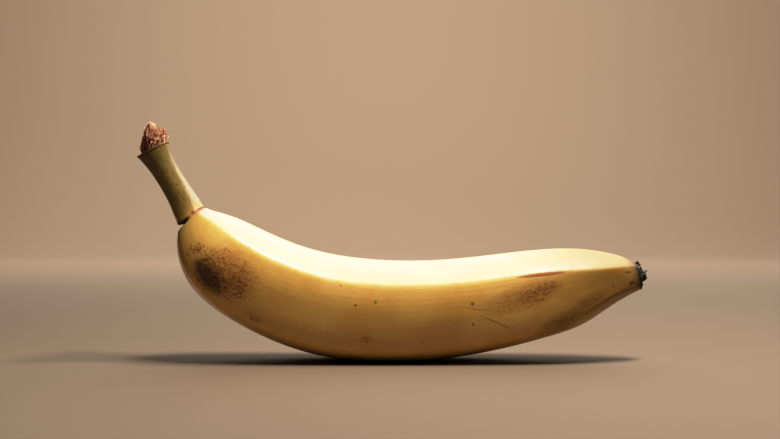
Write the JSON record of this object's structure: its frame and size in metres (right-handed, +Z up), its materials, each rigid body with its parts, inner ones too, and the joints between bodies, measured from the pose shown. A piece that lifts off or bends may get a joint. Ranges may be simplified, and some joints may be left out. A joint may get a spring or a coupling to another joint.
{
  "type": "banana",
  "caption": "Ripe yellow banana as picked from its hand: curved ridged peel, flared stalk with a torn end, dried blossom tip.",
  "frame": {"origin": "middle of the small flat spot on the outer side of the bend, on which the fruit rests", "axes": "+X from the stalk end towards the blossom end, +Y across the fruit away from the viewed side, +Z up"},
  "size_m": [0.1877, 0.035, 0.0889],
  "materials": {
    "peel": "waxy satin skin",
    "torn_end": "dry fibrous tear",
    "dried_flower": "dry black crust"
  },
  "bodies": {
    "root": {"banana": "peel"}
  },
  "joints": []
}
